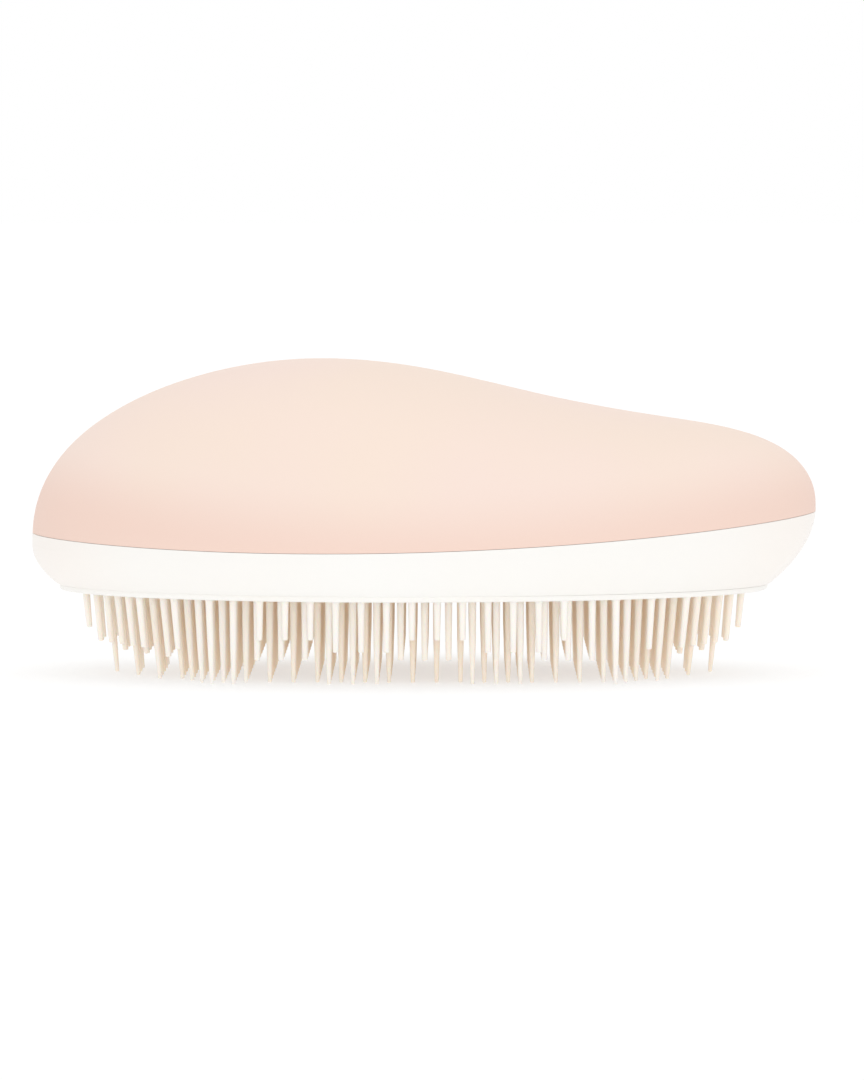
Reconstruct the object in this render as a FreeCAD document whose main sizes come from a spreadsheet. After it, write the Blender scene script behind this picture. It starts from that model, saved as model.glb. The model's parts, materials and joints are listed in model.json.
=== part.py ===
"""Palm-held detangling brush: a domed cover snapped onto a band, with a tooth plate pressed in from below.

Millimetres. +X runs from the round nose to the low tail, +Z is up, and the long teeth stand on z = 0.
"""
import FreeCAD, Part
import math
import os

import Sketcher
from FreeCAD import Placement, Rotation, Vector

SIZES = {
    # Body outline in plan: an egg, widest ahead of mid length.
    "body_length": 117.0,
    "body_width": 72.0,
    "widest_offset": 4.0,
    # Body in side view: heights stand on the underside of the tooth plate.
    "equator_above_plate": 9.65,
    "equator_rise": 5.6,
    "crown_height": 25.6,
    "nose_bowl_depth": 17.5,
    "tail_bowl_depth": 24.5,
    "shell_wall": 2.0,
    # Seam between cover and band: a long arc in side view, lowest under the crown.
    "seam_above_plate": 7.35,
    "seam_low_offset": 18.5,
    "seam_radius": 665.0,
    "seam_gap": 0.12,
    # Tongue under the cover's rim, its snap bead, and the band's lap around it.
    "lap_wall": 1.7,
    "tongue_wall": 1.2,
    "tongue_depth": 2.0,
    "tongue_root_height": 2.5,
    "snap_height": 0.25,
    "fit_clearance": 0.1,
    # Tooth plate: its lip lies under the band's ledge, and its upstand snaps over that ledge.
    "lip_nose_inset": 4.0,
    "lip_tail_inset": 7.1,
    "lip_side_inset": 3.8,
    "lip_thickness": 0.8,
    "ledge_reach": 3.2,
    "ledge_thickness": 2.0,
    "plate_floor": 2.0,
    "upstand_wall": 1.4,
    "plate_snap_height": 0.35,
    "plate_snap_length": 0.8,
    # Ribs on the back of the plate, and the cover's posts above them.
    "rib_wall": 1.2,
    "rib_offset": 12.0,
    "post_diameter": 4.0,
    "post_clearance": 0.2,
    # Teeth.
    "long_tooth_length": 12.5,
    "short_tooth_length": 9.0,
    "end_tooth_length": 7.6,
    "stub_tooth_length": 5.8,
    "tooth_root_diameter": 1.1,
    "tooth_shoulder_diameter": 0.98,
    "slim_tip_diameter": 0.58,
    "blunt_tip_diameter": 0.84,
    "root_clearance": 0.05,
    "tooth_pitch": 3.5,
    "outer_tooth_pitch": 3.7,
    "field_shift": 0.2,
    "outer_row_margin": 5.6,
    "field_side_margin": 1.5,
    "field_end_margin": 3.4,
    # One length by which every cutting shape runs past what it cuts.
    "overrun": 5.0,
}

# Snap bead along the depth of the tongue, roundings as parts of the edge that carries them, and the place
# along a tooth where its shaft starts to taper.
SNAP_TOP_SHARE = 0.35
SNAP_BOTTOM_SHARE = 0.75
LIP_ROUNDING_SHARE = 0.6
TIP_ROUNDING_SHARE = 0.5
SHOULDER_SHARE = 0.5

DERIVED = {
    "body_nose": "sizes.body_length / 2 - sizes.widest_offset",
    "body_tail": "sizes.body_length / 2 + sizes.widest_offset",
    "body_half": "sizes.body_width / 2",
    "lip_nose": "body_nose - sizes.lip_nose_inset",
    "lip_tail": "body_tail - sizes.lip_tail_inset",
    "lip_half": "body_half - sizes.lip_side_inset",
    "plate_bottom": "sizes.long_tooth_length + sizes.root_clearance",
    "rim_height": "plate_bottom + sizes.lip_thickness",
    "ledge_top": "rim_height + sizes.ledge_thickness",
    "floor_top": "plate_bottom + sizes.plate_floor",
    "plate_snap_bottom": "ledge_top + sizes.fit_clearance",
    "upstand_top": "plate_snap_bottom + sizes.plate_snap_length",
    "equator_height": "plate_bottom + sizes.equator_above_plate",
    "seam_centre_height": "plate_bottom + sizes.seam_above_plate + sizes.seam_radius",
    "tongue_inset": "sizes.lap_wall + sizes.fit_clearance",
    "tongue_root_inset": "sizes.shell_wall / 2",
    "snap_top": f"{SNAP_TOP_SHARE} * sizes.tongue_depth",
    "snap_bottom": f"{SNAP_BOTTOM_SHARE} * sizes.tongue_depth",
    "core_inset": "sizes.ledge_reach + sizes.fit_clearance",
    "tooth_root_radius": "sizes.tooth_root_diameter / 2",
    "hinge_height": "sizes.long_tooth_length - tooth_root_radius",
}

# Crown height at evenly spaced stations from nose to tail: a hump over the palm, then a dip for the fingers.
CROWN_SHARES = (0.426, 0.723, 0.924, 1.0, 0.912, 0.721, 0.573, 0.457, 0.277)
# Cross ribs and posts along the plate, as shares of its reach from the widest section.
RIB_SHARES = (-0.55, 0.0, 0.55)
POST_SHARES = (-0.42, 0.42)

ROW_COUNT = 17
# Along the outer rows and every other row the teeth change length in groups of this many.
GROUP_COUNT = 3
# Past these shares of the field's reach the teeth at its two ends are shorter.
END_REGION_SHARE = 0.66
END_TOOTH_SHARE = 0.93
STUB_TOOTH_SHARE = 0.985
# Between these shares of the field's half length the teeth start to lean in towards the middle.
LEAN_START_SHARE = 0.54
LEAN_FULL_SHARE = 0.75
END_LEAN_DEG = 5.5


doc = FreeCAD.newDocument("detangling_brush")


def fill_sheet(name, rows):
    """Put name, value pairs in a new sheet, each value under its own alias."""
    sheet = doc.addObject("Spreadsheet::Sheet", name)
    for row, (alias, text) in enumerate(rows.items(), start=1):
        sheet.set(f"A{row}", alias)
        sheet.set(f"B{row}", text)
        sheet.setAlias(f"B{row}", alias)
    doc.recompute()
    return sheet


sizes = fill_sheet("sizes", {alias: str(value) for alias, value in SIZES.items()})
derived = fill_sheet("derived", {alias: f"={formula}" for alias, formula in DERIVED.items()})


def number(expression):
    """The present value of an expression on the sheets."""
    return float(derived.evalExpression(expression))


def bind(obj, expressions):
    for path, expression in expressions.items():
        obj.setExpression(path, expression)


def constrain(sketch, expression, kind, *where):
    """Add a dimension to a sketch and bind it to an expression."""
    index = sketch.addConstraint(Sketcher.Constraint(kind, *where, number(expression)))
    sketch.setExpression(f"Constraints[{index}]", expression)


def add_half_oval(sketch, across, along, side):
    """Add half an ellipse about the origin, on the side of +X or -X."""
    half_width = number(across)
    reach = number(along)
    centre = Vector(0, 0, 0)
    lengthwise = reach >= half_width
    if lengthwise:
        ellipse = Part.Ellipse(Vector(reach, 0, 0), Vector(0, half_width, 0), centre)
        start = -math.pi / 2 if side > 0 else math.pi / 2
    else:
        ellipse = Part.Ellipse(Vector(0, half_width, 0), Vector(-reach, 0, 0), centre)
        start = math.pi if side > 0 else 0.0
    arc = sketch.addGeometry(Part.ArcOfEllipse(ellipse, start, start + math.pi), False)
    sketch.exposeInternalGeometry(arc)
    long_axis, short_axis = arc + 1, arc + 2
    sketch.addConstraint(Sketcher.Constraint("Coincident", arc, 3, -1, 1))
    sketch.addConstraint(Sketcher.Constraint("Horizontal" if lengthwise else "Vertical", long_axis))
    constrain(sketch, f"2 * ({along})", "Distance", long_axis if lengthwise else short_axis)
    return arc, (short_axis if lengthwise else long_axis)


def add_oval(sketch, across, nose, tail):
    """Add a closed egg about the origin from two half ellipses of one width."""
    front, front_width = add_half_oval(sketch, across, nose, -1)
    constrain(sketch, f"2 * ({across})", "Distance", front_width)
    sketch.addConstraint(Sketcher.Constraint("PointOnObject", front, 1, -2))
    sketch.addConstraint(Sketcher.Constraint("PointOnObject", front, 2, -2))
    back = add_half_oval(sketch, across, tail, 1)[0]
    sketch.addConstraint(Sketcher.Constraint("Coincident", back, 1, front, 2))
    sketch.addConstraint(Sketcher.Constraint("PointOnObject", back, 2, -2))


def add_egg(sketch, family, inset):
    """Add a plan outline of the body or the lip, drawn in by an inset."""
    add_oval(
        sketch,
        f"derived.{family}_half - ({inset})",
        f"derived.{family}_nose - ({inset})",
        f"derived.{family}_tail - ({inset})",
    )


def body_form(name, inset):
    """The whole pebble of the body, drawn in by an inset: a loft along X between two end points."""
    count = len(CROWN_SHARES)
    half_length = f"(sizes.body_length / 2 - {inset})"

    def end_point(end_name, share):
        point = doc.addObject("Part::Vertex", f"{name}_{end_name}")
        bind(point, {
            "X": f"{share} * {half_length}",
            "Z": f"derived.equator_height + {share} * sizes.equator_rise / 2",
        })
        return point

    sections = [end_point("nose", -1)]
    for station, crown_share in enumerate(CROWN_SHARES, start=1):
        angle = math.pi * station / (count + 1) - math.pi / 2
        share = math.sin(angle)
        round_share = math.cos(angle)
        place = f"{share} * {half_length}"
        side = "nose" if number(place) < -number("sizes.widest_offset") else "tail"
        from_widest_share = f"(({place} + sizes.widest_offset) / (derived.body_{side} - {inset}))"
        mean_depth = "(sizes.tail_bowl_depth + sizes.nose_bowl_depth) / 2"
        half_change = "(sizes.tail_bowl_depth - sizes.nose_bowl_depth) / 2"
        section = doc.addObject("Sketcher::SketchObject", f"{name}_section_{station}")
        add_oval(
            section,
            f"(derived.body_half - {inset}) * sqrt(1 - {from_widest_share} ^ 2)",
            f"{round_share} * ({mean_depth} + {share} * {half_change} - {inset})",
            f"{crown_share} * sizes.crown_height - {round_share} * {inset}",
        )
        section.Placement = Placement(Vector(0, 0, 0), Rotation(Vector(0, 1, 0), -90))
        bind(section, {
            "Placement.Base.x": place,
            "Placement.Base.z": f"derived.equator_height + {share} * sizes.equator_rise / 2",
        })
        sections.append(section)
    sections.append(end_point("tail", 1))
    form = doc.addObject("Part::Loft", name)
    form.Sections = sections
    form.Solid = True
    return form


def seam_cylinder(name, drop):
    """All that lies above the seam's arc, lowered by a drop."""
    cylinder = doc.addObject("Part::Cylinder", name)
    cylinder.Placement = Placement(Vector(0, 0, 0), Rotation(Vector(1, 0, 0), -90))
    bind(cylinder, {
        "Radius": f"sizes.seam_radius + ({drop})",
        "Height": "sizes.body_width + 2 * sizes.overrun",
        "Placement.Base.x": "-sizes.seam_low_offset",
        "Placement.Base.y": "-sizes.body_width / 2 - sizes.overrun",
        "Placement.Base.z": "derived.seam_centre_height",
    })
    return cylinder


def slab(name, bottom):
    """A box over the whole body, from a height up past the crown."""
    box = doc.addObject("Part::Box", name)
    bind(box, {
        "Length": "sizes.body_length + 2 * sizes.overrun",
        "Width": "sizes.body_width + 2 * sizes.overrun",
        "Height": "sizes.equator_above_plate + sizes.crown_height + sizes.equator_rise + sizes.overrun",
        "Placement.Base.x": "-sizes.body_length / 2 - sizes.overrun",
        "Placement.Base.y": "-sizes.body_width / 2 - sizes.overrun",
        "Placement.Base.z": bottom,
    })
    return box


def prism(name, family, *insets):
    """An upright prism from the plate past the crown, on one egg or as a ring between two."""
    sketch = doc.addObject("Sketcher::SketchObject", f"{name}_outline")
    for inset in insets:
        add_egg(sketch, family, inset)
    bind(sketch, {"Placement.Base.x": "-sizes.widest_offset", "Placement.Base.z": "derived.plate_bottom"})
    solid = doc.addObject("Part::Extrusion", name)
    solid.Base = sketch
    solid.DirMode = "Normal"
    solid.Solid = True
    solid.FaceMakerClass = "Part::FaceMakerBullseye"
    bind(solid, {"LengthFwd": "sizes.equator_above_plate + sizes.crown_height + sizes.overrun"})
    return solid


def common(name, base, tool):
    result = doc.addObject("Part::Common", name)
    result.Base, result.Tool = base, tool
    return result


def cut(name, base, tool):
    result = doc.addObject("Part::Cut", name)
    result.Base, result.Tool = base, tool
    return result


def fuse(name, shapes):
    result = doc.addObject("Part::MultiFuse", name)
    result.Shapes = shapes
    return result


def between(name, shape, lower_drop, upper_drop):
    """The stretch of a prism between two arcs below the seam."""
    above = common(f"{name}_above", shape, seam_cylinder(f"{name}_lower_arc", lower_drop))
    return cut(name, above, seam_cylinder(f"{name}_upper_arc", upper_drop))


outer_form = body_form("outer_form", "0")
inner_form = body_form("inner_form", "sizes.shell_wall")


def make_cover():
    """Domed shell with a tongue and snap bead round its rim, and posts down to the plate's ribs."""
    dome = common("dome", outer_form, seam_cylinder("cover_edge", "0"))
    shell = cut("cover_shell", dome, inner_form)
    tongue_back = "derived.tongue_inset + sizes.tongue_wall"
    tongue = between(
        "tongue",
        prism("tongue_ring", "body", "derived.tongue_inset", tongue_back),
        "sizes.tongue_depth",
        "-sizes.tongue_root_height",
    )
    root = between(
        "tongue_root",
        prism("tongue_root_ring", "body", "derived.tongue_root_inset", tongue_back),
        "0",
        "-sizes.tongue_root_height",
    )
    bead = between(
        "snap_bead",
        prism("snap_bead_ring", "body", "derived.tongue_inset - sizes.snap_height", tongue_back),
        "derived.snap_bottom",
        "derived.snap_top",
    )
    reach = body_form("post_reach", "sizes.shell_wall / 2")
    posts = []
    for share in POST_SHARES:
        side = "nose" if share < 0 else "tail"
        for hand in (-1, 1):
            post = doc.addObject("Part::Cylinder", f"post_stock_{len(posts) + 1}")
            bind(post, {
                "Radius": "sizes.post_diameter / 2",
                "Height": "sizes.equator_above_plate + sizes.crown_height",
                "Placement.Base.x": f"{share} * derived.lip_{side} - sizes.widest_offset",
                "Placement.Base.y": f"{hand} * sizes.rib_offset",
                "Placement.Base.z": "derived.upstand_top + sizes.post_clearance",
            })
            posts.append(common(f"post_{len(posts) + 1}", post, reach))
    return fuse("top_cover", [shell, tongue, root, bead, *posts])


def make_band():
    """Lower shell: open at the top with a lapped rim, and a ledge round the opening for the tooth plate."""
    stock = common("band_stock", outer_form, slab("above_rim", "derived.rim_height"))
    cavity = common("band_cavity", inner_form, slab("above_ledge", "derived.ledge_top"))
    opening = prism("plate_opening", "lip", "sizes.ledge_reach")
    lap = common(
        "lap_rebate",
        prism("lap_prism", "body", "sizes.lap_wall"),
        seam_cylinder("rebate_floor", "sizes.tongue_depth + sizes.fit_clearance"),
    )
    groove = between(
        "snap_groove",
        prism("groove_prism", "body", "sizes.lap_wall - sizes.snap_height"),
        "derived.snap_bottom + sizes.fit_clearance",
        "derived.snap_top - sizes.fit_clearance",
    )
    above_seam = seam_cylinder("band_edge", "sizes.seam_gap")
    removed = fuse("band_removed", [above_seam, cavity, opening, lap, groove])
    return cut("base_band", stock, removed)


def plane_of(body, role):
    return next(feature for feature in body.Origin.OriginFeatures if feature.Role == role)


def level_sketch(body, name, height):
    """A sketch on the body's level plane, centred under the widest section and raised to a height."""
    sketch = body.newObject("Sketcher::SketchObject", name)
    sketch.AttachmentSupport = (plane_of(body, "XY_Plane"), [""])
    sketch.MapMode = "FlatFace"
    bind(sketch, {"AttachmentOffset.Base.x": "-sizes.widest_offset", "AttachmentOffset.Base.z": height})
    return sketch


def pad(body, name, sketch, length):
    feature = body.newObject("PartDesign::Pad", name)
    feature.Profile = sketch
    bind(feature, {"Length": length})
    doc.recompute()


def add_bar(sketch, left, right, bottom, top):
    """Add a rectangle between two places along X and two across Y."""
    low = Vector(number(left), number(bottom), 0)
    high = Vector(number(right), number(top), 0)
    corners = (low, Vector(high.x, low.y, 0), high, Vector(low.x, high.y, 0))
    first = sketch.GeometryCount
    for index, corner in enumerate(corners):
        sketch.addGeometry(Part.LineSegment(corner, corners[(index + 1) % len(corners)]), False)
    for index in range(len(corners)):
        following = first + (index + 1) % len(corners)
        sketch.addConstraint(Sketcher.Constraint("Coincident", first + index, 2, following, 1))
        level = "Horizontal" if index % 2 == 0 else "Vertical"
        sketch.addConstraint(Sketcher.Constraint(level, first + index))
    constrain(sketch, left, "DistanceX", -1, 1, first, 1)
    constrain(sketch, bottom, "DistanceY", -1, 1, first, 1)
    constrain(sketch, right, "DistanceX", -1, 1, first + 1, 2)
    constrain(sketch, top, "DistanceY", -1, 1, first + 1, 2)


def make_plate():
    """Plate with a thin lip, an upstand with a snap bead, and ribs across its back."""
    body = doc.addObject("PartDesign::Body", "tooth_plate")
    lip = level_sketch(body, "lip_outline", "derived.plate_bottom")
    add_egg(lip, "lip", "0")
    pad(body, "lip_pad", lip, "sizes.lip_thickness")

    core = level_sketch(body, "core_outline", "derived.plate_bottom")
    add_egg(core, "lip", "derived.core_inset")
    pad(body, "core_pad", core, "derived.upstand_top - derived.plate_bottom")

    snap = level_sketch(body, "plate_snap_outline", "derived.plate_snap_bottom")
    add_egg(snap, "lip", "derived.core_inset - sizes.plate_snap_height")
    pad(body, "plate_snap_pad", snap, "sizes.plate_snap_length")

    tray = level_sketch(body, "tray_outline", "derived.upstand_top")
    add_egg(tray, "lip", "derived.core_inset + sizes.upstand_wall")
    pocket = body.newObject("PartDesign::Pocket", "tray")
    pocket.Profile = tray
    bind(pocket, {"Length": "derived.upstand_top - derived.floor_top"})
    doc.recompute()

    reach_in = "(derived.core_inset + sizes.upstand_wall / 2)"
    half = f"(derived.lip_half - {reach_in})"
    for index, share in enumerate(RIB_SHARES, start=1):
        side = "nose" if share < 0 else "tail"
        rib = level_sketch(body, f"cross_rib_outline_{index}", "derived.plate_bottom")
        place = f"{share} * (derived.lip_{side} - {reach_in})"
        wide = f"{math.sqrt(1 - share ** 2)} * {half}"
        add_bar(rib, f"{place} - sizes.rib_wall / 2", f"{place} + sizes.rib_wall / 2", f"-({wide})", wide)
        pad(body, f"cross_rib_{index}", rib, "derived.upstand_top - derived.plate_bottom")
    for index, hand in enumerate((-1, 1), start=1):
        rib = level_sketch(body, f"long_rib_outline_{index}", "derived.plate_bottom")
        across_share = f"sqrt(1 - (sizes.rib_offset / {half}) ^ 2)"
        add_bar(
            rib,
            f"-{across_share} * (derived.lip_nose - {reach_in})",
            f"{across_share} * (derived.lip_tail - {reach_in})",
            f"{hand} * sizes.rib_offset - sizes.rib_wall / 2",
            f"{hand} * sizes.rib_offset + sizes.rib_wall / 2",
        )
        pad(body, f"long_rib_{index}", rib, "derived.upstand_top - derived.plate_bottom")

    base = body.Tip
    underside = min(base.Shape.Faces, key=lambda face: face.CenterOfMass.z)
    edges = [
        f"Edge{index}" for index, edge in enumerate(base.Shape.Edges, start=1)
        if any(edge.isSame(rim_edge) for rim_edge in underside.OuterWire.Edges)
    ]
    rounding = body.newObject("PartDesign::Fillet", "lip_edge")
    rounding.Base = (base, edges)
    bind(rounding, {"Radius": f"{LIP_ROUNDING_SHARE} * sizes.lip_thickness"})
    doc.recompute()
    return body


def make_tooth(name, length, tip_diameter):
    """One tooth pointing down from the centre of its root ball: a shaft that tapers to a blunt tip."""
    body = doc.addObject("PartDesign::Body", name)
    sketch = body.newObject("Sketcher::SketchObject", f"{name}_profile")
    sketch.AttachmentSupport = (plane_of(body, "XZ_Plane"), [""])
    sketch.MapMode = "FlatFace"
    root = number("derived.tooth_root_radius")
    shoulder = number("sizes.tooth_shoulder_diameter / 2")
    tip = number(f"{tip_diameter} / 2")
    rounding = TIP_ROUNDING_SHARE * tip
    reach = number(f"{length} - derived.tooth_root_radius")
    up = Vector(0, 0, 1)
    origin = Vector(0, 0, 0)
    tip_centre = Vector(tip - rounding, rounding - reach, 0)
    foot = Vector(0, -reach, 0)
    ball = sketch.addGeometry(Part.ArcOfCircle(Part.Circle(origin, up, root), 0, math.pi / 2), False)
    bend = Vector(shoulder, -SHOULDER_SHARE * reach, 0)
    shaft = sketch.addGeometry(Part.LineSegment(Vector(root, 0, 0), bend), False)
    taper = sketch.addGeometry(Part.LineSegment(bend, Vector(tip, tip_centre.y, 0)), False)
    tip_round = sketch.addGeometry(
        Part.ArcOfCircle(Part.Circle(tip_centre, up, rounding), -math.pi / 2, 0), False
    )
    flat = sketch.addGeometry(Part.LineSegment(Vector(tip_centre.x, -reach, 0), foot), False)
    core = sketch.addGeometry(Part.LineSegment(foot, Vector(0, root, 0)), False)
    for fixed in (
        ("Coincident", ball, 3, -1, 1),
        ("Coincident", ball, 1, shaft, 1),
        ("Coincident", shaft, 2, taper, 1),
        ("Coincident", taper, 2, tip_round, 2),
        ("Coincident", tip_round, 1, flat, 1),
        ("Coincident", flat, 2, core, 1),
        ("Coincident", core, 2, ball, 2),
        ("PointOnObject", core, 2, -2),
        ("PointOnObject", ball, 1, -1),
        ("Vertical", core),
        ("Horizontal", flat),
        ("Vertical", tip_round, 3, tip_round, 1),
        ("Horizontal", tip_round, 3, tip_round, 2),
    ):
        sketch.addConstraint(Sketcher.Constraint(*fixed))
    constrain(sketch, "derived.tooth_root_radius", "Radius", ball)
    constrain(sketch, f"{TIP_ROUNDING_SHARE} * {tip_diameter} / 2", "Radius", tip_round)
    constrain(sketch, f"{1 - TIP_ROUNDING_SHARE} * {tip_diameter} / 2", "Distance", flat)
    constrain(sketch, f"{length} - derived.tooth_root_radius", "DistanceY", core, 1, -1, 1)
    constrain(sketch, "sizes.tooth_shoulder_diameter / 2", "DistanceX", -1, 1, shaft, 2)
    drop = f"{SHOULDER_SHARE} * ({length} - derived.tooth_root_radius)"
    constrain(sketch, drop, "DistanceY", shaft, 2, -1, 1)
    turned = body.newObject("PartDesign::Revolution", f"{name}_turned")
    turned.Profile = sketch
    turned.ReferenceAxis = (sketch, ["V_Axis"])
    turned.Angle = 360
    doc.recompute()
    return body


def field_half_length(side, across):
    """How far the tooth field reaches from the widest section at a distance across the brush."""
    half = number("derived.lip_half - sizes.field_side_margin")
    if across >= half:
        return 0.0
    reach = number(f"derived.lip_{side} - sizes.field_end_margin")
    return reach * math.sqrt(1 - (across / half) ** 2)


def is_outer(row):
    """Whether a row is one of the two along the sides of the field."""
    return row in (1, ROW_COUNT)


def tooth_kind(row, step, place, across):
    """Which tooth stands at a place: short along the edge of the field, in groups along the even rows."""
    widest = -number("sizes.widest_offset")
    side = "nose" if place < widest else "tail"
    half = number("derived.lip_half - sizes.field_side_margin")
    reach = number(f"derived.lip_{side} - sizes.field_end_margin")
    lengthwise_share = abs(place - widest) / reach
    edge_share = math.hypot(lengthwise_share, across / half)
    if edge_share > STUB_TOOTH_SHARE and lengthwise_share > END_REGION_SHARE:
        return "stub"
    if edge_share > END_TOOTH_SHARE and lengthwise_share > END_REGION_SHARE:
        return "end"
    group = math.floor((step + GROUP_COUNT // 2) / GROUP_COUNT)
    if is_outer(row):
        return "stub" if group % 2 == 0 else "end"
    if row % 2 == 0 and group % 2 == 0:
        return "short"
    return "long"


def lean_angle(place):
    """How far a tooth leans towards the middle, in degrees about Y."""
    field_end = number("sizes.body_length / 2 - sizes.lip_nose_inset - sizes.field_end_margin")
    reach_share = abs(place) / field_end
    ramp_share = (reach_share - LEAN_START_SHARE) / (LEAN_FULL_SHARE - LEAN_START_SHARE)
    return math.copysign(END_LEAN_DEG * min(1.0, max(0.0, ramp_share)), place)


def make_row(row, teeth):
    """One straight lengthwise row of separate teeth, standing on one hinge line."""
    middle = (ROW_COUNT + 1) / 2
    across = (row - middle) / (middle - 1) * number("derived.lip_half - sizes.outer_row_margin")
    pitch = number("sizes.outer_tooth_pitch" if is_outer(row) else "sizes.tooth_pitch")
    widest = -number("sizes.widest_offset")
    stagger = pitch / 2 if row % 2 == 1 else 0.0
    shift = number("sizes.field_shift") + stagger
    first = math.ceil((widest - field_half_length("nose", abs(across)) - shift) / pitch)
    last = math.floor((widest + field_half_length("tail", abs(across)) - shift) / pitch)
    hinge_height = number("derived.hinge_height")
    copies = []
    for step in range(first, last + 1):
        place = step * pitch + shift
        tooth = teeth[tooth_kind(row, step, place, abs(across))].Shape.copy()
        tooth.Placement = Placement(
            Vector(place, across, hinge_height),
            Rotation(Vector(0, 1, 0), lean_angle(place)),
        )
        copies.append(tooth)
    feature = doc.addObject("Part::Feature", f"tooth_row_{row:02d}")
    feature.Shape = Part.makeCompound(copies)
    return feature


def check(nodes):
    """Stop if any object failed to build, or if a node is empty or broken."""
    for obj in doc.Objects:
        if "Invalid" in obj.State or "Error" in obj.State:
            raise RuntimeError(f"{obj.Name} failed: {obj.State}")
    for node in nodes:
        if node.Shape.isNull() or not node.Shape.isValid() or not node.Shape.Solids:
            raise RuntimeError(f"{node.Label} has no valid solid")


cover = make_cover()
band = make_band()
plate = make_plate()
kinds = {
    "long": make_tooth("long_tooth", "sizes.long_tooth_length", "sizes.slim_tip_diameter"),
    "short": make_tooth("short_tooth", "sizes.short_tooth_length", "sizes.blunt_tip_diameter"),
    "end": make_tooth("end_tooth", "sizes.end_tooth_length", "sizes.blunt_tip_diameter"),
    "stub": make_tooth("stub_tooth", "sizes.stub_tooth_length", "sizes.blunt_tip_diameter"),
}
rows = [make_row(row, kinds) for row in range(1, ROW_COUNT + 1)]
doc.recompute()
node_objects = [cover, band, plate, *rows]
check(node_objects)
os.makedirs("parts", exist_ok=True)
for node_object in node_objects:
    node_object.Shape.exportStep(f"parts/{node_object.Label}.step")
print("teeth:", sum(len(row.Shape.Solids) for row in rows))
for node_object in node_objects[:3]:
    print(node_object.Label, len(node_object.Shape.Solids), "solid,", round(node_object.Shape.Volume), "mm3")
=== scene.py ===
"""Dress the palm-held detangling brush and set it up in a plain studio.

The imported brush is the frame: its pieces, bodies and joints give the dressed pieces their places.
"""

import json
import math
from typing import NamedTuple

import bmesh
import bpy
from bpy.props import FloatProperty, FloatVectorProperty, IntProperty, PointerProperty
from bpy.types import Operator, Panel, PropertyGroup
from mathutils import Matrix, Vector


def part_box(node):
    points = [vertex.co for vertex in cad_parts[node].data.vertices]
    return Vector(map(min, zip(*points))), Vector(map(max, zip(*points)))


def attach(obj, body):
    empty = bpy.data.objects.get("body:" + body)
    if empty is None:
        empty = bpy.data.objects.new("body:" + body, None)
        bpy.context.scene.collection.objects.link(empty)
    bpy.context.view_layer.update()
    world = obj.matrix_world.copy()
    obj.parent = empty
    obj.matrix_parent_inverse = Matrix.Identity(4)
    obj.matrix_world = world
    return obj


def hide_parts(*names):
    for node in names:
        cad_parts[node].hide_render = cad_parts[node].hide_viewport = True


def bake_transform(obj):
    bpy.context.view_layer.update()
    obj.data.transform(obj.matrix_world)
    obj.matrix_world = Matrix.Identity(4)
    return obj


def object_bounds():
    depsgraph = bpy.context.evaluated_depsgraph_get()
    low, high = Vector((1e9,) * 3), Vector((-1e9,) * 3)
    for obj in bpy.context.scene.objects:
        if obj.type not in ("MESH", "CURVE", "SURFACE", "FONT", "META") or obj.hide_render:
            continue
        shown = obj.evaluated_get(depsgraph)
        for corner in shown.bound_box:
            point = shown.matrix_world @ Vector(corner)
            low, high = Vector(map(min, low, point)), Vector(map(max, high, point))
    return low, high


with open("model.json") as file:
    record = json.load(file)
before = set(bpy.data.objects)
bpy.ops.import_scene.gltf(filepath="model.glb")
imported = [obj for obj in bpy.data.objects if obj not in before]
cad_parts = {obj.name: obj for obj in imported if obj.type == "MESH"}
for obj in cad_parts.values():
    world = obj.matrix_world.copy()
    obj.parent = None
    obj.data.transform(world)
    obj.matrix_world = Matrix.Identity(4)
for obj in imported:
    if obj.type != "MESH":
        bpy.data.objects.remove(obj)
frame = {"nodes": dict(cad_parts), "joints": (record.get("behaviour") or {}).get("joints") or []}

bl_info = {
    "name": "Detangling Brush",
    "version": (1, 0, 0),
    "blender": (4, 5, 0),
    "location": "View3D > Sidebar > Brush",
    "description": "Dresses a palm-held detangling brush and sets it up in a plain studio",
    "category": "Object",
}

CAD_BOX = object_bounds()
BODY = "brush_body"
MM = 0.001
WHITE = (1, 1, 1, 1)

MERGE_DISTANCE = 0.001 * MM
SHARP_EDGE = math.radians(35)
SAME_SURFACE = math.radians(33)
EDGE_SEGMENTS = 3
# Each shell's outer surface runs together in a point at one end, with thin faces this far round it.
END_REACH = 0.7 * MM

# A row's teeth stand further apart than this, and the points of one tooth lie closer together.
TOOTH_GAP = 0.6 * MM
TIP_SLICE = 0.3 * MM
LENGTH_STEP = 0.1 * MM
# Depths below the plate, as shares of a tooth's length, of the rings that let it bend smoothly, and
# of the shoulder where its shaft starts to taper.
BEND_RING_SHARES = (0.16, 0.3)
SHOULDER_SHARE = 0.5
# A tip's rounding is at most this share of its radius.
TIP_ROUNDING_SHARE = 0.6
TIP_SEGMENTS = 2
TOOTH_SHARP_EDGE = math.radians(60)

# A colour drifts from one tone to the other between these strengths of its noise.
DRIFT_START = 0.35
DRIFT_END = 0.65
GRAIN_DETAIL = 2
COATING_SPECULAR = 0.25
# Squared shares of the half length between which the band takes on its painted warm shade at the
# ends.
END_SHADE_START = 0.3
END_SHADE_FULL = 1.0
# How far out a tooth stands is its squared share of the half width, and this much of its squared
# share of the half length. The teeth take on their painted warm shade, standing in for light passing
# from tooth to tooth, from the first value inwards.
LENGTH_WEIGHT = 0.6
CORE_SHADE_START = 0.55
CORE_SHADE_FULL = 0.15
TOOTH_SUBSURFACE = 0.2
TOOTH_SUBSURFACE_RADIUS = (1.0, 0.6, 0.35)
TOOTH_SUBSURFACE_SCALE = 0.5 * MM

FLOOR_SIDES = 96
FLOOR_ROUGHNESS = 0.9


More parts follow.
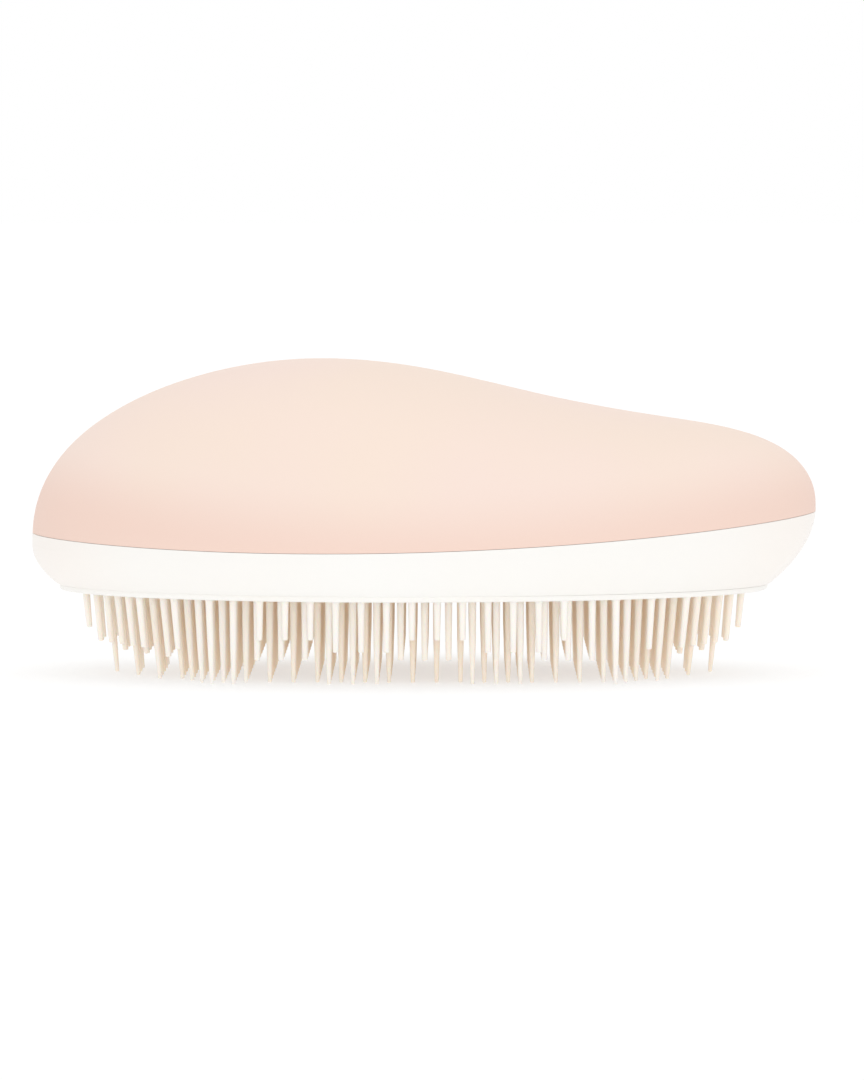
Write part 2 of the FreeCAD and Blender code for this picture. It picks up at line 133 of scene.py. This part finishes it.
class Finish(NamedTuple):
    """How a plastic's colour and gloss drift, and how fine and deep its grain is."""

    patch_size: float
    patch_detail: float
    gloss_size: float
    gloss_detail: float
    roughness: tuple
    grain_size: float
    grain_strength: float
    grain_depth: float


COATING_FINISH = Finish(
    patch_size=30 * MM, patch_detail=1.5, gloss_size=6 * MM, gloss_detail=3, roughness=(0.52, 0.62),
    grain_size=0.35 * MM, grain_strength=0.12, grain_depth=0.03 * MM)
BAND_FINISH = Finish(
    patch_size=22 * MM, patch_detail=1.5, gloss_size=5 * MM, gloss_detail=3, roughness=(0.3, 0.38),
    grain_size=0.9 * MM, grain_strength=0.06, grain_depth=0.02 * MM)
PLATE_FINISH = Finish(
    patch_size=15 * MM, patch_detail=1.5, gloss_size=4 * MM, gloss_detail=3, roughness=(0.36, 0.46),
    grain_size=0.6 * MM, grain_strength=0.06, grain_depth=0.02 * MM)
TOOTH_FINISH = Finish(
    patch_size=9 * MM, patch_detail=2, gloss_size=2 * MM, gloss_detail=2, roughness=(0.34, 0.44),
    grain_size=0.5 * MM, grain_strength=0.05, grain_depth=0.01 * MM)


class CoverSettings(PropertyGroup):
    """Sizes and colours of the soft-touch cover."""

    rim_radius: FloatProperty(
        name="Rim radius", description="Rounding of the cover's lower edge",
        default=0.03 * MM, min=0, precision=5, unit="LENGTH")
    rim_drop: FloatProperty(
        name="Rim drop", description="How far the cover's lower edge reaches down into the seam",
        default=0.07 * MM, min=0, precision=5, unit="LENGTH")
    colour: FloatVectorProperty(
        name="Colour", description="Main colour of the coating",
        default=(0.92, 0.765, 0.662), min=0, max=1, subtype="COLOR")
    blush: FloatVectorProperty(
        name="Blush", description="Pinker tone that drifts over the coating",
        default=(0.92, 0.755, 0.675), min=0, max=1, subtype="COLOR")
    # Painted shade: the coating is drawn deeper towards the rim and, higher up, towards the two ends.
    rim_shade_tone: FloatVectorProperty(
        name="Rim tone", description="Deeper tone that the coating takes on towards the rim",
        default=(0.885, 0.67, 0.58), min=0, max=1, subtype="COLOR")
    # Painted shade: how far up the painted rim shade fades out, and how much higher it reaches at the
    # ends.
    rim_reach: FloatProperty(
        name="Rim reach", description="Height over which the rim tone fades out",
        default=11 * MM, min=0, precision=5, unit="LENGTH")
    end_lift: FloatProperty(
        name="End lift", description="How much higher the rim tone reaches at the two ends",
        default=7 * MM, min=0, precision=5, unit="LENGTH")


class BandSettings(PropertyGroup):
    """Sizes and colours of the ivory band."""

    rim_radius: FloatProperty(
        name="Rim radius", description="Rounding of the band's upper edge, at the seam",
        default=0.03 * MM, min=0, precision=5, unit="LENGTH")
    foot_radius: FloatProperty(
        name="Foot radius", description="Rounding of the band's lower edge, above the plate's lip",
        default=0.4 * MM, min=0, precision=5, unit="LENGTH")
    colour: FloatVectorProperty(
        name="Colour", description="Main colour of the band",
        default=(0.935, 0.928, 0.902), min=0, max=1, subtype="COLOR")
    shade: FloatVectorProperty(
        name="Shade", description="Warmer tone that drifts over the band",
        default=(0.935, 0.918, 0.884), min=0, max=1, subtype="COLOR")
    # Painted shade: the band is drawn warmer at its two ends.
    end_shade_tone: FloatVectorProperty(
        name="End tone", description="Warmer tone that the band takes on at its two ends",
        default=(0.95, 0.9, 0.852), min=0, max=1, subtype="COLOR")


class PlateSettings(PropertyGroup):
    """Colours of the plate that carries the teeth."""

    colour: FloatVectorProperty(
        name="Colour", description="Main colour of the plate",
        default=(0.94, 0.93, 0.9), min=0, max=1, subtype="COLOR")
    shade: FloatVectorProperty(
        name="Shade", description="Warmer tone that drifts over the plate",
        default=(0.94, 0.92, 0.88), min=0, max=1, subtype="COLOR")


class TeethSettings(PropertyGroup):
    """Sizes and colours of the teeth."""

    sides: IntProperty(
        name="Sides", description="Sides round one tooth", default=8, min=6, max=16)
    shaft_radius: FloatProperty(
        name="Shaft radius", description="Radius of a tooth below its root fillet",
        default=0.55 * MM, min=0, precision=5, unit="LENGTH")
    shoulder_radius: FloatProperty(
        name="Shoulder radius", description="Radius of a tooth where its shaft starts to taper",
        default=0.49 * MM, min=0, precision=5, unit="LENGTH")
    fillet_reach: FloatProperty(
        name="Fillet reach", description="How far the root fillet spreads on the plate",
        default=0.25 * MM, min=0, precision=5, unit="LENGTH")
    fillet_height: FloatProperty(
        name="Fillet height", description="How far the root fillet runs down the tooth",
        default=0.4 * MM, min=0, precision=5, unit="LENGTH")
    root_depth: FloatProperty(
        name="Root depth", description="How far the root runs into the plate",
        default=0.15 * MM, min=0, precision=5, unit="LENGTH")
    tip_rounding: FloatProperty(
        name="Tip rounding", description="Rounding of the blunt tip",
        default=0.16 * MM, min=0, precision=5, unit="LENGTH")
    bend_length: FloatProperty(
        name="Bend length", description="Length of tooth below the plate over which it bends",
        default=4.5 * MM, min=0, precision=5, unit="LENGTH")
    colour: FloatVectorProperty(
        name="Colour", description="Main colour of the teeth",
        default=(0.99, 0.955, 0.905), min=0, max=1, subtype="COLOR")
    shade: FloatVectorProperty(
        name="Shade", description="Warmer tone that drifts over the teeth",
        default=(0.99, 0.935, 0.87), min=0, max=1, subtype="COLOR")
    # Painted shade: the inner teeth are drawn tan, standing in for light passing from tooth to tooth.
    core_shade_tone: FloatVectorProperty(
        name="Core tone",
        description="Warmer tone of the inner teeth, where light passes from tooth to tooth",
        default=(0.99, 0.82, 0.65), min=0, max=1, subtype="COLOR")


class StageSettings(PropertyGroup):
    """Camera, light and floor."""

    aim: FloatVectorProperty(
        name="Aim", description="Point that the camera looks at",
        default=(1.2 * MM, 0, 19.8 * MM), precision=5, subtype="TRANSLATION", unit="LENGTH")
    elevation: FloatProperty(
        name="Elevation", description="How far the camera looks down",
        default=math.radians(3.35), subtype="ANGLE")
    azimuth: FloatProperty(
        name="Azimuth", description="How far the camera stands round towards the nose",
        default=math.radians(-0.2), subtype="ANGLE")
    distance: FloatProperty(
        name="Distance", description="From the camera to its aim", default=1.0, unit="LENGTH")
    lens: FloatProperty(
        name="Lens", description="Focal length in millimetres", default=222.8, unit="CAMERA")
    floor_radius: FloatProperty(
        name="Floor radius", description="Radius of the studio floor", default=6.0, unit="LENGTH")
    floor_colour: FloatVectorProperty(
        name="Floor colour", description="Colour of the studio floor",
        default=(0.5, 0.5, 0.5), min=0, max=1, subtype="COLOR")
    floor_glow: FloatProperty(
        name="Floor glow", description="Strength of the soft light from the floor itself",
        default=0.54, min=0)
    ambient: FloatProperty(
        name="Ambient", description="Strength of the light from all round", default=0.83, min=0)
    key: FloatProperty(
        name="Key", description="Strength of the soft key lamp", default=0.42, min=0)
    key_softness: FloatProperty(
        name="Key softness", description="Width of the key lamp in the sky",
        default=math.radians(50), subtype="ANGLE")
    key_direction: FloatVectorProperty(
        name="Key direction", description="From the brush towards the key lamp",
        default=(0.06, 0.06, 1.0), subtype="DIRECTION")
    fill: FloatProperty(
        name="Fill", description="Strength of the low lamp that lights the teeth",
        default=0.36, min=0)
    fill_softness: FloatProperty(
        name="Fill softness", description="Width of the fill lamp in the sky",
        default=math.radians(12), subtype="ANGLE")
    fill_direction: FloatVectorProperty(
        name="Fill direction", description="From the brush towards the fill lamp",
        default=(0.05, -1.0, 0.14), subtype="DIRECTION")


class BrushSettings(PropertyGroup):
    """All settings of the brush."""

    cover: PointerProperty(type=CoverSettings)
    band: PointerProperty(type=BandSettings)
    plate: PointerProperty(type=PlateSettings)
    teeth: PointerProperty(type=TeethSettings)
    stage: PointerProperty(type=StageSettings)


def middle(values):
    """Return the middle of a range of values."""
    return (min(values) + max(values)) / 2


def select_only(piece):
    """Make a piece the only one selected, and the active one."""
    bpy.ops.object.select_all(action="DESELECT")
    piece.select_set(True)
    bpy.context.view_layer.objects.active = piece


def merged_copy(node, name):
    """Return a copy of a CAD node with its loose triangles joined up."""
    piece = bpy.data.objects.new(name, frame["nodes"][node].data.copy())
    bpy.context.collection.objects.link(piece)
    select_only(piece)
    bpy.ops.mesh.customdata_custom_splitnormals_clear()
    bpy.ops.object.mode_set(mode="EDIT")
    bpy.ops.mesh.select_all(action="SELECT")
    bpy.ops.mesh.remove_doubles(threshold=MERGE_DISTANCE)
    bpy.ops.object.mode_set(mode="OBJECT")
    return piece


def close_end(piece):
    """Lay one smooth face over the point where a shell's outer surface runs together."""
    bpy.ops.object.mode_set(mode="EDIT")
    bpy.ops.mesh.select_mode(type="VERT")
    bpy.ops.mesh.select_all(action="DESELECT")
    mesh = bmesh.from_edit_mesh(piece.data)
    tip = max(abs(vertex.co.x) for vertex in mesh.verts) - END_REACH
    outermost = [vertex for vertex in mesh.verts if abs(vertex.co.x) > tip]
    point = max(outermost, key=lambda vertex: len(vertex.link_edges)).co.copy()
    for vertex in outermost:
        vertex.select = (vertex.co - point).length < END_REACH
    mesh.select_flush_mode()
    bmesh.update_edit_mesh(piece.data)
    bpy.ops.mesh.dissolve_verts()
    bpy.ops.object.mode_set(mode="OBJECT")


def round_rim(piece, towards, upper, radius, drop=0.0):
    """Lower and round one edge, upper or lower, of the surface that reaches furthest one way."""
    bpy.ops.object.mode_set(mode="EDIT")
    bpy.ops.mesh.select_mode(type="FACE")
    bpy.ops.mesh.select_all(action="DESELECT")
    mesh = bmesh.from_edit_mesh(piece.data)
    furthest = max(mesh.faces, key=lambda face: face.calc_center_median().dot(towards))
    furthest.select = True
    bmesh.update_edit_mesh(piece.data)
    bpy.ops.mesh.faces_select_linked_flat(sharpness=SAME_SURFACE)
    bpy.ops.mesh.region_to_loop()
    mesh = bmesh.from_edit_mesh(piece.data)
    half_height = middle([vertex.co.z for vertex in mesh.verts])
    for edge in mesh.edges:
        if (edge.verts[0].co.z > half_height) != upper:
            edge.select = False
    bmesh.update_edit_mesh(piece.data)
    bpy.ops.transform.translate(value=(0, 0, -drop))
    bpy.ops.mesh.bevel(
        offset=radius, segments=EDGE_SEGMENTS, affect="EDGES", clamp_overlap=False)
    bpy.ops.object.mode_set(mode="OBJECT")
    bpy.ops.object.shade_smooth_by_angle(angle=SHARP_EDGE)


def dress(piece, material):
    """Give a piece one material."""
    piece.data.materials.clear()
    piece.data.materials.append(material)


def new_material(name):
    """Return a new material with its node tree and its shader."""
    material = bpy.data.materials.new(name)
    material.use_nodes = True
    tree = material.node_tree
    return material, tree, tree.nodes["Principled BSDF"]


def add_noise(tree, size, detail):
    """Add noise whose patches are about the given size, and return its strength."""
    place = tree.nodes.new("ShaderNodeTexCoord")
    noise = tree.nodes.new("ShaderNodeTexNoise")
    noise.inputs["Scale"].default_value = 1 / size
    noise.inputs["Detail"].default_value = detail
    tree.links.new(place.outputs["Object"], noise.inputs["Vector"])
    return noise.outputs["Fac"]


def drift_colour(tree, shader, strength, one, other):
    """Let the base colour drift between two tones, and return it."""
    ramp = tree.nodes.new("ShaderNodeValToRGB")
    first, last = ramp.color_ramp.elements
    first.position = DRIFT_START
    first.color = (*one, 1)
    last.position = DRIFT_END
    last.color = (*other, 1)
    tree.links.new(strength, ramp.inputs["Fac"])
    tree.links.new(ramp.outputs["Color"], shader.inputs["Base Color"])
    return ramp.outputs["Color"]


def drift_roughness(tree, shader, strength, low, high):
    """Let the roughness drift between two values."""
    spread = tree.nodes.new("ShaderNodeMapRange")
    spread.inputs["To Min"].default_value = low
    spread.inputs["To Max"].default_value = high
    tree.links.new(strength, spread.inputs["Value"])
    tree.links.new(spread.outputs["Result"], shader.inputs["Roughness"])


def add_grain(tree, shader, height, strength, depth):
    """Raise a fine grain on the surface."""
    bump = tree.nodes.new("ShaderNodeBump")
    bump.inputs["Strength"].default_value = strength
    bump.inputs["Distance"].default_value = depth
    tree.links.new(height, bump.inputs["Height"])
    tree.links.new(bump.outputs["Normal"], shader.inputs["Normal"])


def new_plastic(name, finish, one, other):
    """Return a new plastic, its node tree, its shader and its colour, drifting between two tones."""
    material, tree, shader = new_material(name)
    patches = add_noise(tree, finish.patch_size, finish.patch_detail)
    colour = drift_colour(tree, shader, patches, one, other)
    gloss = add_noise(tree, finish.gloss_size, finish.gloss_detail)
    drift_roughness(tree, shader, gloss, *finish.roughness)
    grain = add_noise(tree, finish.grain_size, GRAIN_DETAIL)
    add_grain(tree, shader, grain, finish.grain_strength, finish.grain_depth)
    return material, tree, shader, colour


def split_place(tree):
    """Return the sockets that give each point's place along the three axes."""
    place = tree.nodes.new("ShaderNodeTexCoord")
    parts = tree.nodes.new("ShaderNodeSeparateXYZ")
    tree.links.new(place.outputs["Object"], parts.inputs["Vector"])
    return parts.outputs


def square_share(tree, place, half_size):
    """Return the square of a place as a share of half the brush's size."""
    share = tree.nodes.new("ShaderNodeMath")
    share.operation = "DIVIDE"
    share.inputs[1].default_value = half_size
    tree.links.new(place, share.inputs[0])
    square = tree.nodes.new("ShaderNodeMath")
    square.operation = "MULTIPLY"
    tree.links.new(share.outputs["Value"], square.inputs[0])
    tree.links.new(share.outputs["Value"], square.inputs[1])
    return square.outputs["Value"]


def shift(tree, value, share, amount):
    """Return a value shifted by a share of an amount."""
    shifted = tree.nodes.new("ShaderNodeMath")
    shifted.operation = "MULTIPLY_ADD"
    shifted.inputs[1].default_value = amount
    tree.links.new(share, shifted.inputs[0])
    tree.links.new(value, shifted.inputs[2])
    return shifted.outputs["Value"]


def blend_tone(tree, shader, colour, tone, value, start, end):
    """Blend the base colour into another tone as a value runs from start to end."""
    fade = tree.nodes.new("ShaderNodeMapRange")
    fade.interpolation_type = "SMOOTHSTEP"
    fade.inputs["From Min"].default_value = start
    fade.inputs["From Max"].default_value = end
    mix = tree.nodes.new("ShaderNodeMix")
    mix.data_type = "RGBA"
    plain, toned, blend = mix.inputs[6], mix.inputs[7], mix.outputs[2]
    toned.default_value = (*tone, 1)
    tree.links.new(value, fade.inputs["Value"])
    tree.links.new(fade.outputs["Result"], mix.inputs["Factor"])
    tree.links.new(colour, plain)
    tree.links.new(blend, shader.inputs["Base Color"])


def soft_touch_coating(settings):
    """Return the matte peach coating of the cover, with painted shade towards its rim and ends."""
    material, tree, shader, colour = new_plastic(
        "soft_touch_peach", COATING_FINISH, settings.colour, settings.blush)
    # Painted shade: the colour deepens towards the rim, and higher up towards the two ends.
    place = split_place(tree)
    end_share = square_share(tree, place["X"], CAD_BOX[1].x)
    height = shift(tree, place["Z"], end_share, -settings.end_lift)
    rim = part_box("base_band")[1].z
    reach = settings.rim_reach / 2
    blend_tone(tree, shader, colour, settings.rim_shade_tone, height, rim + reach, rim - reach)
    shader.inputs["Specular IOR Level"].default_value = COATING_SPECULAR
    return material


def band_moulding(settings):
    """Return the satin ivory plastic of the band, with painted warm shade at its two ends."""
    material, tree, shader, colour = new_plastic(
        "satin_ivory", BAND_FINISH, settings.colour, settings.shade)
    end_share = square_share(tree, split_place(tree)["X"], CAD_BOX[1].x)
    # Painted shade: warmer towards the two ends.
    blend_tone(
        tree, shader, colour, settings.end_shade_tone, end_share, END_SHADE_START, END_SHADE_FULL)
    return material


def plate_moulding(settings):
    """Return the ivory plastic of the plate that carries the teeth."""
    return new_plastic("plate_ivory", PLATE_FINISH, settings.colour, settings.shade)[0]


def tooth_moulding(settings):
    """Return the warm, translucent plastic of the teeth, with painted warm shade on the inner teeth.
    """
    material, tree, shader, colour = new_plastic(
        "warm_ivory", TOOTH_FINISH, settings.colour, settings.shade)
    place = split_place(tree)
    side_share = square_share(tree, place["Y"], CAD_BOX[1].y)
    end_share = square_share(tree, place["X"], CAD_BOX[1].x)
    outwards = shift(tree, side_share, end_share, LENGTH_WEIGHT)
    # Painted shade: the inner teeth are drawn tan, the outer ones keep the plain ivory.
    blend_tone(
        tree, shader, colour, settings.core_shade_tone, outwards, CORE_SHADE_START, CORE_SHADE_FULL)
    shader.inputs["Subsurface Weight"].default_value = TOOTH_SUBSURFACE
    shader.inputs["Subsurface Radius"].default_value = TOOTH_SUBSURFACE_RADIUS
    shader.inputs["Subsurface Scale"].default_value = TOOTH_SUBSURFACE_SCALE
    return material


def row_joints():
    """Return the hinge of each row of teeth, under the row's name."""
    return {joint["child"]: joint for joint in frame["joints"]}


def split_teeth(row):
    """Yield the points of each tooth in a row, one tooth after another along the brush."""
    vertices = frame["nodes"][row].data.vertices
    points = sorted((vertex.co for vertex in vertices), key=lambda point: point.x)
    tooth = points[:1]
    for point in points[1:]:
        if point.x - tooth[-1].x > TOOTH_GAP:
            yield tooth
            tooth = []
        tooth.append(point)
    yield tooth


def measure_tooth(points, hinge):
    """Return a tooth's root on the hinge line, its lean, its length below it and its tip's radius."""
    root_middle = middle([point.x for point in points if point.z > hinge.z])
    root = Vector((root_middle, hinge.y, hinge.z))
    lowest = min(point.z for point in points)
    slice_of_tip = [point for point in points if point.z < lowest + TIP_SLICE]
    across = [point.y for point in slice_of_tip]
    tip = Vector((middle([point.x for point in slice_of_tip]), hinge.y, lowest))
    lean = math.atan2(root.x - tip.x, root.z - tip.z)
    return root, lean, (root - tip).length, (max(across) - min(across)) / 2


def select_ring(mesh, height):
    """Select the ring of points at one height."""
    for vertex in mesh.verts:
        vertex.select = abs(vertex.co.z - height) < MERGE_DISTANCE
    mesh.select_flush_mode()


def widen_ring(tooth, height, radius):
    """Set the radius of the ring of points at one height."""
    bpy.ops.mesh.select_mode(type="VERT")
    mesh = bmesh.from_edit_mesh(tooth.data)
    select_ring(mesh, height)
    bmesh.update_edit_mesh(tooth.data)
    now = max(vertex.co.xy.length for vertex in mesh.verts if vertex.select)
    bpy.ops.transform.resize(value=(radius / now, radius / now, 1), center_override=(0, 0, 0))


def model_tooth(settings, below_plate, plate, tip_radius):
    """Model one upright tooth, with its hinge at the origin and the plate at the given height."""
    top = plate + settings.root_depth
    foot = plate - below_plate
    bpy.ops.object.select_all(action="DESELECT")
    bpy.ops.mesh.primitive_cone_add(
        vertices=settings.sides, radius1=tip_radius, radius2=settings.shaft_radius,
        depth=top - foot, location=(0, 0, (top + foot) / 2))
    tooth = bpy.context.object
    bpy.ops.object.transform_apply()
    fillet_end = plate - settings.fillet_height
    shoulder = plate - SHOULDER_SHARE * below_plate
    bend_rings = [plate - share * below_plate for share in BEND_RING_SHARES]
    rings = [fillet_end, *bend_rings, shoulder]
    bpy.ops.object.mode_set(mode="EDIT")
    for height in rings:
        bpy.ops.mesh.select_all(action="SELECT")
        bpy.ops.mesh.bisect(plane_co=(0, 0, height), plane_no=(0, 0, 1))
    narrowing = (settings.shaft_radius - settings.shoulder_radius) / (fillet_end - shoulder)
    for height in rings:
        widen_ring(tooth, height, settings.shoulder_radius + (height - shoulder) * narrowing)
    widen_ring(tooth, top, settings.shaft_radius + settings.fillet_reach)
    bpy.ops.mesh.select_mode(type="VERT")
    mesh = bmesh.from_edit_mesh(tooth.data)
    select_ring(mesh, foot)
    bmesh.update_edit_mesh(tooth.data)
    rounding = min(settings.tip_rounding, TIP_ROUNDING_SHARE * tip_radius)
    bpy.ops.mesh.bevel(offset=rounding, segments=TIP_SEGMENTS, affect="EDGES")
    bpy.ops.object.mode_set(mode="OBJECT")
    bpy.ops.object.shade_smooth_by_angle(angle=TOOTH_SHARP_EDGE)
    return tooth


def plant_tooth(pattern, root, lean):
    """Return a copy of a tooth with a mesh of its own, standing at its root."""
    tooth = pattern.copy()
    tooth.data = pattern.data.copy()
    bpy.context.collection.objects.link(tooth)
    tooth.matrix_world = Matrix.Translation(root) @ Matrix.Rotation(lean, 4, "Y")
    return tooth


def join_row(teeth, name):
    """Join the teeth of one row into one piece at the origin."""
    bpy.ops.object.select_all(action="DESELECT")
    for tooth in teeth:
        tooth.select_set(True)
    bpy.context.view_layer.objects.active = teeth[0]
    bpy.ops.object.join()
    bpy.ops.object.transform_apply()
    row = bpy.context.object
    row.name = name
    row.data.name = name
    return row


class BrushOperator:
    """Shared by the brush's operators."""

    bl_options = {"REGISTER", "UNDO"}


class PALM_BRUSH_OT_cover(BrushOperator, Operator):
    """Round the cover's rim and give the cover its soft-touch coating"""

    bl_idname = "palm_brush.cover"
    bl_label = "Cover"

    def execute(self, context):
        settings = context.scene.palm_brush.cover
        cover = merged_copy("top_cover", "cover_shell")
        close_end(cover)
        upwards = Vector((0, 0, 1))
        round_rim(cover, upwards, False, settings.rim_radius, settings.rim_drop)
        dress(cover, soft_touch_coating(settings))
        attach(cover, BODY)
        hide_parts("top_cover")
        return {"FINISHED"}


class PALM_BRUSH_OT_band(BrushOperator, Operator):
    """Round the band's edges and give the band its satin ivory finish"""

    bl_idname = "palm_brush.band"
    bl_label = "Band"

    def execute(self, context):
        settings = context.scene.palm_brush.band
        band = merged_copy("base_band", "band_shell")
        close_end(band)
        outwards = Vector((0, -1, 0))
        round_rim(band, outwards, False, settings.foot_radius)
        round_rim(band, outwards, True, settings.rim_radius)
        dress(band, band_moulding(settings))
        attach(band, BODY)
        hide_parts("base_band")
        return {"FINISHED"}


class PALM_BRUSH_OT_plate(BrushOperator, Operator):
    """Give the plate under the band its ivory finish"""

    bl_idname = "palm_brush.plate"
    bl_label = "Plate"

    def execute(self, context):
        finish = plate_moulding(context.scene.palm_brush.plate)
        frame["nodes"]["tooth_plate"].material_slots[0].material = finish
        return {"FINISHED"}


class PALM_BRUSH_OT_teeth(BrushOperator, Operator):
    """Model the rows of teeth and finish them"""

    bl_idname = "palm_brush.teeth"
    bl_label = "Teeth"

    def execute(self, context):
        settings = context.scene.palm_brush.teeth
        finish = tooth_moulding(settings)
        plate_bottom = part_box("tooth_plate")[0].z
        patterns = {}
        for body, joint in sorted(row_joints().items()):
            hinge = Vector(joint["pos_m"])
            plate = plate_bottom - hinge.z
            teeth = []
            for points in split_teeth(body):
                root, lean, length, tip_radius = measure_tooth(points, hinge)
                kind = round(length / LENGTH_STEP)
                if kind not in patterns:
                    patterns[kind] = model_tooth(settings, length + plate, plate, tip_radius)
                teeth.append(plant_tooth(patterns[kind], root, lean))
            row = join_row(teeth, body.replace("tooth_row", "teeth_row"))
            dress(row, finish)
            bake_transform(row)
            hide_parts(body)
        for pattern in patterns.values():
            bpy.data.objects.remove(pattern)
        return {"FINISHED"}


def lay_floor(settings):
    """Lay a wide matte floor under the brush that glows like a light table."""
    bpy.ops.object.select_all(action="DESELECT")
    bpy.ops.mesh.primitive_circle_add(
        vertices=FLOOR_SIDES, radius=settings.floor_radius, fill_type="NGON")
    floor = bpy.context.object
    floor.name = "studio_floor"
    material, _, shader = new_material("light_table")
    shader.inputs["Base Color"].default_value = (*settings.floor_colour, 1)
    shader.inputs["Roughness"].default_value = FLOOR_ROUGHNESS
    shader.inputs["Specular IOR Level"].default_value = 0
    shader.inputs["Emission Color"].default_value = WHITE
    shader.inputs["Emission Strength"].default_value = settings.floor_glow
    dress(floor, material)


def light_world(settings):
    """Light the brush softly from all round, against a white background."""
    world = bpy.data.worlds.new("studio_world")
    world.use_nodes = True
    bpy.context.scene.world = world
    tree = world.node_tree
    ambient = tree.nodes["Background"]
    ambient.inputs["Color"].default_value = WHITE
    ambient.inputs["Strength"].default_value = settings.ambient
    white = tree.nodes.new("ShaderNodeBackground")
    white.inputs["Color"].default_value = WHITE
    white.inputs["Strength"].default_value = 1
    path = tree.nodes.new("ShaderNodeLightPath")
    seen = path.outputs["Is Camera Ray"]
    for ray in ("Is Glossy Ray", "Is Transmission Ray"):
        either = tree.nodes.new("ShaderNodeMath")
        either.operation = "MAXIMUM"
        tree.links.new(seen, either.inputs[0])
        tree.links.new(path.outputs[ray], either.inputs[1])
        seen = either.outputs["Value"]
    mix = tree.nodes.new("ShaderNodeMixShader")
    tree.links.new(seen, mix.inputs["Fac"])
    tree.links.new(ambient.outputs["Background"], mix.inputs[1])
    tree.links.new(white.outputs["Background"], mix.inputs[2])
    tree.links.new(mix.outputs["Shader"], tree.nodes["World Output"].inputs["Surface"])


def hang_lamp(name, strength, softness, direction):
    """Hang one soft lamp that shines from a direction."""
    light = bpy.data.lights.new(name, "SUN")
    light.energy = strength
    light.angle = softness
    lamp = bpy.data.objects.new(name, light)
    lamp.rotation_euler = Vector(direction).to_track_quat("Z", "Y").to_euler()
    bpy.context.collection.objects.link(lamp)


def set_camera(settings):
    """Set the camera in front of the brush, a little above it."""
    lens = bpy.data.cameras.new("camera")
    lens.lens = settings.lens
    camera = bpy.data.objects.new("camera", lens)
    level = math.cos(settings.elevation)
    back = Vector((
        -level * math.sin(settings.azimuth),
        -level * math.cos(settings.azimuth),
        math.sin(settings.elevation)))
    camera.location = Vector(settings.aim) + settings.distance * back
    camera.rotation_euler = back.to_track_quat("Z", "Y").to_euler()
    bpy.context.collection.objects.link(camera)
    bpy.context.scene.camera = camera


class PALM_BRUSH_OT_stage(BrushOperator, Operator):
    """Lay the floor, hang the lights and set the camera"""

    bl_idname = "palm_brush.stage"
    bl_label = "Stage"

    def execute(self, context):
        settings = context.scene.palm_brush.stage
        context.scene.view_settings.view_transform = "Standard"
        lay_floor(settings)
        light_world(settings)
        hang_lamp("key_lamp", settings.key, settings.key_softness, settings.key_direction)
        hang_lamp("fill_lamp", settings.fill, settings.fill_softness, settings.fill_direction)
        set_camera(settings)
        return {"FINISHED"}


OPERATORS = (
    PALM_BRUSH_OT_cover, PALM_BRUSH_OT_band, PALM_BRUSH_OT_plate, PALM_BRUSH_OT_teeth,
    PALM_BRUSH_OT_stage)


class VIEW3D_PT_palm_brush(Panel):
    """List the brush's pieces and its stage"""

    bl_label = "Detangling Brush"
    bl_space_type = "VIEW_3D"
    bl_region_type = "UI"
    bl_category = "Brush"

    def draw(self, context):
        for operator in OPERATORS:
            self.layout.operator(operator.bl_idname)


CLASSES = (
    CoverSettings, BandSettings, PlateSettings, TeethSettings, StageSettings, BrushSettings,
    *OPERATORS, VIEW3D_PT_palm_brush)


def register():
    """Register the classes and put the settings on the scene."""
    for each in CLASSES:
        bpy.utils.register_class(each)
    bpy.types.Scene.palm_brush = PointerProperty(type=BrushSettings)


def unregister():
    """Take the settings off the scene and unregister the classes."""
    del bpy.types.Scene.palm_brush
    for each in reversed(CLASSES):
        bpy.utils.unregister_class(each)


def main():
    """Make every piece and the stage."""
    register()
    bpy.ops.palm_brush.cover()
    bpy.ops.palm_brush.band()
    bpy.ops.palm_brush.plate()
    bpy.ops.palm_brush.teeth()
    bpy.ops.palm_brush.stage()


if __name__ == "__main__":
    main()
